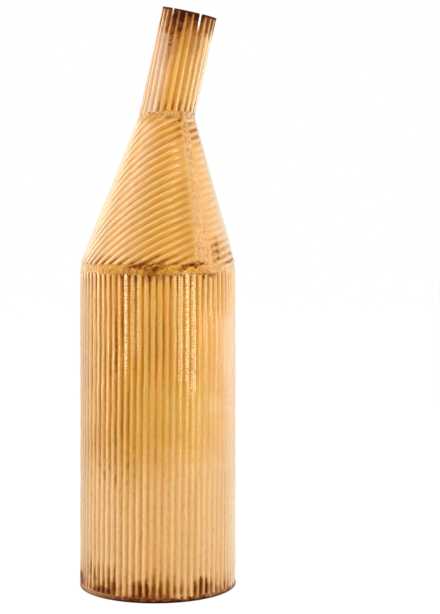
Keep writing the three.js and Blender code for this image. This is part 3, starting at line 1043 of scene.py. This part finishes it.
def outFromCone(spot):
    return Vector((spot.x - coneMiddle(spot.z), spot.y, 0))


def coneFlute(spot):  # the rib's number at a place on the cone, and how deep the flutes are there
    local = coneTurn.transposed() @ (spot - coneApex)
    azimuth = math.atan2(local.x, -local.y)
    outward = math.hypot(local.x, local.y)
    slant = outward * coneSin - local.z * coneCos
    rib = (slant + footRise(spot.z)) * math.sin(fanAngle(azimuth)) / cone["pitch"]
    degrees = math.degrees(azimuth)
    seams = (cone["frontSeam"], cone["rearSeam"], cone["rearSeam"] - 360)
    toSeam = min(abs(degrees - seam) for seam in seams) - cone["seamAngle"] / 2
    ragged = noise.noise(spot / cone["raggedSize"])
    fading = smooth((toSeam + ragged) / cone["seamRunOut"])
    flat = 0
    if degrees > cone["frontSeam"]:
        share, end, over = cone["rightFlatAzimuths"]
        flat = share * window(spot.z, *cone["rightFlat"]) * smooth((end - degrees) / over)
    elif degrees > 0:
        share, end, over = cone["leftFlatAzimuths"]
        flat = share * window(spot.z, *cone["leftFlat"]) * smooth((degrees - end) / over)
    return rib, fading, flat


def rolledGrid(name, columns, rows, placeAt):  # a flat grid, every point of it rolled onto the cone
    deselectAll()
    bpy.ops.mesh.primitive_grid_add(x_subdivisions=columns, y_subdivisions=rows, size=1)
    piece = startPiece(name)
    for point in piece.data.vertices:
        column = round((point.co.x + 0.5) * columns)
        row = round((point.co.y + 0.5) * rows)
        point.co = placeAt(column, row)
    return piece


def coneSheet(name, fromSeam, toSeam):
    first = fromSeam + cone["seamAngle"] / 2
    last = toSeam - cone["seamAngle"] / 2
    nearEdge = cone["edgeColumns"]
    between = last - first - 2 * nearEdge[-1]
    inner = math.ceil(between / cone["columnStep"])
    azimuths = [first] + [first + gap for gap in nearEdge]
    azimuths += [first + nearEdge[-1] + between * step / inner for step in range(1, inner)]
    azimuths += [last - gap for gap in reversed(nearEdge)] + [last]
    azimuths = [math.radians(azimuth) for azimuth in azimuths]
    ends = (coneLow.z, coneHigh.z)
    across = [slantAt(az, end) * math.sin(fanAngle(az)) for az in azimuths for end in ends]
    lineGap = cone["pitch"] / sheet["steps"]
    firstLine = max(1, math.floor(min(across) / lineGap) - 1)
    rows = math.ceil(max(across) / lineGap) + 4 - firstLine
    grooves = []
    ribs = []

    def placeAt(column, row):
        azimuth = azimuths[column]
        line = firstLine + row
        slant = line * lineGap / math.sin(fanAngle(azimuth))
        slant -= footRise(conePoint(slant, azimuth, 0).z)
        fading, flat = coneFlute(conePoint(slant, azimuth, 0))[1:]
        flute = fluteDrop(line / sheet["steps"] + 0.5) * fading * (1 - flat)
        grooves.append(flute / sheet["fluteDepth"])
        ribs.append(line / sheet["steps"])
        return conePoint(slant, azimuth, -flute - cone["seamSink"] * (1 - fading))

    piece = rolledGrid(name, len(azimuths) - 1, rows, placeAt)
    storeFlutes(piece, grooves, ribs)
    trim(piece, (0, 0, coneLow.z), (0, 0, -1))
    trim(piece, (0, 0, coneHigh.z), (0, 0, 1))
    faceOutwards(piece, outFromCone)
    wobble(piece)
    thicken(piece, 0)
    return piece


coneLeft = coneSheet("coneLeftSheet", cone["rearSeam"] - 360, cone["frontSeam"])
finishPiece(coneLeft, "cone_left_sheet", "fluted_sheet", coneGold)
coneRight = coneSheet("coneRightSheet", cone["frontSeam"], cone["rearSeam"])
finishPiece(coneRight, "cone_right_sheet", "fluted_sheet", coneGold)

coneSeam = {
    "columns": 14,
    "rows": 120,
    "overlap": 4,  # degrees that the braze runs under the sheets at each side
    "level": -0.1 * mm,
    "edgeDrop": 0.9 * mm,
    "lumps": (0.0035, 0.4 * mm),
}


def coneSeamStrip(name, azimuth):
    half = math.radians(cone["seamAngle"] / 2 + coneSeam["overlap"])
    middle = math.radians(azimuth)

    def placeAt(column, row):
        side = 2 * column / coneSeam["columns"] - 1
        turned = middle + side * half
        share = row / coneSeam["rows"]
        slant = slantAt(turned, coneLow.z) * (1 - share) + slantAt(turned, coneHigh.z) * share
        return conePoint(slant, turned, coneSeam["level"] - coneSeam["edgeDrop"] * side ** 2)

    piece = rolledGrid(name, coneSeam["columns"], coneSeam["rows"], placeAt)
    faceOutwards(piece, outFromCone)
    wobble(piece)
    lumps(piece, *coneSeam["lumps"])
    applyModifier(piece, "SOLIDIFY", thickness=sheet["thickness"], offset=-1)
    return piece


frontSeam = coneSeamStrip("coneFrontSeam", cone["frontSeam"])
finishPiece(frontSeam, "cone_front_seam", "braze", seamGold)
rearSeam = coneSeamStrip("coneRearSeam", cone["rearSeam"])
finishPiece(rearSeam, "cone_rear_seam", "braze", seamGold)


# rings: drawn up the outside and down the inside, closed, and made lumpy
def lumpyRing(name, part):
    rings = part["rings"]
    height, radius = rings[0]
    deselectAll()
    bpy.ops.mesh.primitive_circle_add(vertices=part["segments"], radius=radius, location=(0, 0, height))
    piece = startPiece(name)
    startEdit()
    for last, new in zip(rings, rings[1:]):
        pushOut((0, 0, new[0] - last[0]))
        factor = new[1] / last[1]
        bpy.ops.transform.resize(value=(factor, factor, 1), center_override=(0, 0, new[0]))
    selectMesh()
    bpy.ops.mesh.region_to_loop()
    bpy.ops.mesh.bridge_edge_loops()
    selectMesh()
    bpy.ops.mesh.normals_make_consistent(inside=False)
    endEdit()
    lumps(piece, *part["lumps"])
    return piece


# bands: braze between two sheets, with the cone's flutes running out over it
bandThickness = 2 * mm
joinWithin = 0.01 * mm  # closes the grid where its two ends meet


def brazedBand(name, part):
    grooves = []
    ribs = []

    def placeAt(column, row):
        turn = math.pi * (2 * column / part["columns"] - 1)
        height = part["bottom"] + (part["top"] - part["bottom"]) * row / part["rows"]
        middle, radius, stretch = part["outline"](height)
        outward = Vector((math.sin(turn), -math.cos(turn), 0))
        spot = Vector((middle + radius * stretch * outward.x, radius * outward.y, height))
        rib, fading, flat = coneFlute(spot)
        ragged = noise.noise(spot / cone["raggedSize"]) * cone["ragged"]
        share = smooth((part["intoFlutes"](height) + ragged) / part["runOut"])
        flute = fluteDrop(rib + 0.5) * share * fading * (1 - flat)
        grooves.append(flute / sheet["fluteDepth"])
        ribs.append(rib)
        sink = part["sink"] * (1 - share) + part["tuck"](height + 0.7 * ragged)
        sink += cone["seamSink"] * (1 - fading) * share
        sink += part["dive"] * max(0, part["edge"] - height)
        return spot - outward * (flute + sink)

    piece = rolledGrid(name, part["columns"], part["rows"], placeAt)
    storeFlutes(piece, grooves, ribs)
    startEdit()
    bpy.ops.mesh.remove_doubles(threshold=joinWithin)
    endEdit()
    faceOutwards(piece, outFromCone)
    wobble(piece)
    for size, rise in part["lumps"]:
        lumpsWhere(piece, lambda spot: 1 - part["intoFlutes"](spot.z) / part["runOut"], size, rise)
    applyModifier(piece, "SOLIDIFY", thickness=bandThickness, offset=-1)
    return piece


tuckUnder = 0.14 * mm  # the bands lie this far over the cone's edge, then this far under its sheet
tuckLength = 1.6 * mm
cornerHeight = bodyHigh.z + cone["cornerRise"]
cornerSoftness = 3.5 * mm


def tucked(past):
    return tuckUnder * (2 * smooth(past / tuckLength) - 1)


def shoulderOutline(height):  # a soft corner between the body and the cone
    past = cornerSoftness * math.log1p(math.exp((height - cornerHeight) / cornerSoftness))
    return (leftSlope - rightSlope) / 2 * past, bodyRadius - (leftSlope + rightSlope) / 2 * past, 1


shoulderBand = {
    "columns": 720,
    "rows": 32,
    "bottom": bodyHigh.z - 4.5 * mm,
    "edge": bodyHigh.z + 0.8 * mm,  # below this the band dives in behind the body
    "dive": 0.45,
    "top": coneLow.z + 5 * mm,
    "outline": shoulderOutline,
    "intoFlutes": lambda height: height - (bodyHigh.z + 2.5 * mm),
    "runOut": 5.2 * mm,
    "sink": 0.35 * mm,
    "tuck": lambda height: tucked(height - coneLow.z - 1.5 * mm),
    "lumps": ((0.009, 0.6 * mm), (0.003, 0.45 * mm)),
}
shoulder = brazedBand("shoulderBand", shoulderBand)
finishPiece(shoulder, "shoulder_band", "braze", shoulderGold)


def neckOutline(height):  # from the cone over into the leaning neck
    share = smooth((height - neckBandLow.z) / (neckLow.z - neckBandLow.z))
    leaning = neckFoot.x + (height - neckLow.z) * math.tan(neckLean)
    middle = coneMiddle(height) + (leaning - coneMiddle(height)) * share
    radius = coneRadius(height) + (neckRadius - coneRadius(height)) * share
    return middle, radius, 1 + (1 / math.cos(neckLean) - 1) * share


neckBand = {
    "columns": 300,
    "rows": 20,
    "bottom": coneHigh.z - 4 * mm,
    "edge": 0,
    "dive": 0,
    "top": neckLow.z + 2 * mm,
    "outline": neckOutline,
    "intoFlutes": lambda height: neckBandHigh.z - height,
    "runOut": 3 * mm,
    "sink": 0.4 * mm,
    "tuck": lambda height: tucked(coneHigh.z - 1.2 * mm - height),
    "lumps": ((0.006, 0.7 * mm), (0.0025, 0.4 * mm)),
}
neckRing = brazedBand("neckBand", neckBand)
finishPiece(neckRing, "neck_band", "braze", neckBandGold)


# seams of the tubes: a bar with rounded long edges, cut into short lengths and made lumpy
barEdge = {
    "rounding": 0.8 * mm,
    "steps": 3,
    "lumps": (0.006, 0.5 * mm),
}


def tubeSeam(name, part):
    deselectAll()
    bpy.ops.mesh.primitive_cube_add(size=1, location=part["middle"], rotation=part["turn"])
    bpy.context.object.scale = part["size"]
    piece = startPiece(name)
    applyModifier(piece, "BEVEL", width=barEdge["rounding"], segments=barEdge["steps"])
    startEdit()
    for cut in range(1, part["cuts"]):
        selectMesh()
        place = part["middle"] + part["axis"] * (part["size"][2] * (cut / part["cuts"] - 0.5))
        bpy.ops.mesh.bisect(plane_co=place, plane_no=part["axis"])
    endEdit()
    lumps(piece, *barEdge["lumps"])
    return piece


bodySeamLow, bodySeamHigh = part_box("body_seam")
seamDepth = bodySeamHigh.y - bodySeamLow.y
bodySeamBar = {
    "middle": Vector((0, bodySeamHigh.y - seamDepth / 2, (bodyLow.z + bodyHigh.z) / 2)),
    "turn": (0, 0, 0),
    "axis": Vector((0, 0, 1)),
    "size": (bodySeamHigh.x - bodySeamLow.x + 0.6 * mm, seamDepth, bodyHigh.z - bodyLow.z),
    "cuts": 90,
}
bodySeam = tubeSeam("bodySeam", bodySeamBar)
finishPiece(bodySeam, "body_seam", "braze", seamGold)

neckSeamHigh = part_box("neck_seam")[1]
neckSeamBar = {
    "middle": neckFoot + neckAxis * (neckLength / 2) + Vector((0, neckSeamHigh.y - seamDepth / 2, 0)),
    "turn": (0, neckLean, 0),
    "axis": neckAxis,
    "size": (6 * mm, seamDepth, neckLength + 3 * mm),
    "cuts": 32,
}
neckSeam = tubeSeam("neckSeam", neckSeamBar)
trim(neckSeam, rimMiddle, rimNormal)
startEdit()
bpy.ops.mesh.region_to_loop()
bpy.ops.mesh.edge_face_add()
endEdit()
finishPiece(neckSeam, "neck_seam", "braze", seamGold)

# foot: a plate with a rounded, slightly beaten edge, hollowed underneath
basePlate = {
    "segments": 180,
    "edge": 1.2 * mm,
    "edgeSteps": 4,
    "standingRing": 5 * mm,
    "slope": mm,  # how far in the hollow reaches its depth
    "hollow": 0.6 * mm,
    "lumps": (0.006, 0.4 * mm),
}
plateLow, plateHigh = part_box("base_plate")
deselectAll()
bpy.ops.mesh.primitive_cylinder_add(
    vertices=basePlate["segments"],
    radius=plateHigh.x,
    depth=plateHigh.z - plateLow.z,
    location=(0, 0, (plateHigh.z + plateLow.z) / 2),
)
plate = startPiece("basePlate")
rounded = {"width": basePlate["edge"], "segments": basePlate["edgeSteps"], "limit_method": "ANGLE"}
applyModifier(plate, "BEVEL", **rounded)
startEdit()
bpy.ops.mesh.select_mode(type="FACE")
bpy.ops.mesh.select_all(action="DESELECT")
plateMesh = bmesh.from_edit_mesh(plate.data)
for face in plateMesh.faces:
    face.select_set(face.normal.z < -0.99)
bmesh.update_edit_mesh(plate.data)
bpy.ops.mesh.inset(thickness=basePlate["standingRing"])
bpy.ops.mesh.inset(thickness=basePlate["slope"])
bpy.ops.transform.translate(value=(0, 0, basePlate["hollow"]))
endEdit()
lumpsWhere(plate, lambda spot: spot.z / mm, *basePlate["lumps"])
finishPiece(plate, "base_plate", "foot_metal", footMetal)

# braze round the foot: a fillet inside, and outside a bead that fills the ends of the grooves
footBraze = {
    "segments": 240,
    "ringSegments": 10,
    "beadRadius": bodyRadius - 0.9 * mm,
    "beadThickness": 0.9 * mm,
    "beadHeight": 3.5 * mm,
    "lumps": (0.005, 0.8 * mm),
}
filletLow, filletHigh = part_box("foot_fillet")
filletLeg = filletHigh.z - filletLow.z
# section of the fillet: shares of its leg, up and inward
filletShape = ((0, 0), (0, 1), (0.3, 0.7), (0.65, 0.35), (1, 0.1), (1, 0))
innerFillet = {
    "segments": 180,
    "rings": [(filletLow.z + up * filletLeg, filletHigh.x - by * filletLeg) for up, by in filletShape],
    "lumps": (0.006, 0.5 * mm),
}
fillet = lumpyRing("footBraze", innerFillet)
deselectAll()
bpy.ops.mesh.primitive_torus_add(
    major_radius=footBraze["beadRadius"],
    minor_radius=footBraze["beadThickness"],
    major_segments=footBraze["segments"],
    minor_segments=footBraze["ringSegments"],
    location=(0, 0, footBraze["beadHeight"]),
)
bead = startPiece("footBead")
lumps(bead, *footBraze["lumps"])
fillet.select_set(True)
activate(fillet)
bpy.ops.object.join()
finishPiece(fillet, "foot_fillet", "foot_metal", footMetal)
print("pieces finished")


# stage: white floor and surroundings, two strip lamps and three broad soft panels
def whiteWhereSeen(tree):
    path = Wire(tree).node("ShaderNodeLightPath", out="Is Camera Ray")
    outputs = path.socket.node.outputs
    glossy = Wire(tree, outputs["Is Glossy Ray"])
    through = Wire(tree, outputs["Is Transmission Ray"])
    return path.larger(glossy).larger(through)


stage = {
    "floorSize": 12,
    "floorWhite": 0.97,
    "floorRoughness": 0.9,
    "floorShadow": 0.2,  # how much of the floor is lit, so that it takes the shadow
    "surroundLight": 0.6,
}
world = bpy.data.worlds.new("studio")
bpy.context.scene.world = world
world.use_nodes = True
background = world.node_tree.nodes["Background"]
plug((1, 1, 1, 1), background, "Color")
seen = whiteWhereSeen(world.node_tree)
plug(seen * (1 - stage["surroundLight"]) + stage["surroundLight"], background, "Strength")

deselectAll()
bpy.ops.mesh.primitive_plane_add(size=stage["floorSize"], location=(0, 0, 0))
floor = startPiece("floor")
floorMaterial, floorShader, floorPlace = newMaterial("paleFloor")
white = stage["floorWhite"]
plug((white, white, white, 1), floorShader, "Base Color")
plug(stage["floorRoughness"], floorShader, "Roughness")
plug(0, floorShader, "Specular IOR Level")
litFloor = stage["floorShadow"] * white * stage["surroundLight"]
fillUp = (1 - litFloor) / (1 - stage["floorShadow"])  # glow and surroundings together make white
glow = floorPlace.node("ShaderNodeEmission", values={"Color": (1, 1, 1, 1), "Strength": fillUp})
lit = Wire(floorMaterial.node_tree, floorShader.outputs[0])
glowing = whiteWhereSeen(floorMaterial.node_tree) * (1 - stage["floorShadow"])
floorMix = floorPlace.node("ShaderNodeMixShader", values={0: glowing, 1: lit, 2: glow})
plug(floorMix, floorMaterial.node_tree.nodes["Material Output"], "Surface")
floor.data.materials.append(floorMaterial)


def lamp(name, azimuth, distance, height, aim, width, tall, radiance):
    light = bpy.data.lights.new(name, "AREA")
    light.shape = "RECTANGLE"
    light.size = width
    light.size_y = tall
    light.energy = radiance * math.pi * light.size * light.size_y
    holder = bpy.data.objects.new(name, light)
    bpy.context.scene.collection.objects.link(holder)
    turn = math.radians(azimuth)
    holder.location = (distance * math.sin(turn), -distance * math.cos(turn), height)
    toVase = Vector((0, 0, aim)) - holder.location
    holder.rotation_euler = toVase.to_track_quat("-Z", "Y").to_euler()


lamp("leftStrip", azimuth=-46, distance=1.3, height=0.39, aim=0.39, width=0.08, tall=0.72, radiance=10)
lamp("rightStrip", azimuth=42, distance=1.3, height=0.38, aim=0.38, width=0.14, tall=0.72, radiance=8)
lamp("leftPanel", azimuth=-105, distance=1.2, height=0.85, aim=0.55, width=1, tall=1.3, radiance=1.4)
lamp("rightPanel", azimuth=100, distance=1.1, height=0.67, aim=0.67, width=1.3, tall=1.3, radiance=0.85)
lamp("topPanel", azimuth=-10, distance=1, height=1.3, aim=0.3, width=1.4, tall=0.9, radiance=1.6)

view = {
    "place": (0.0508, -1.2135, 0.3026),
    "lens": 86.8,
    "shiftY": -0.151,
}
camera = bpy.data.cameras.new("camera")
camera.lens = view["lens"]
camera.shift_y = view["shiftY"]
cameraHolder = bpy.data.objects.new("camera", camera)
bpy.context.scene.collection.objects.link(cameraHolder)
cameraHolder.location = view["place"]
cameraHolder.rotation_euler = (math.pi / 2, 0, 0)
bpy.context.scene.camera = cameraHolder
bpy.context.scene.view_settings.view_transform = "Standard"
print("stage ready")
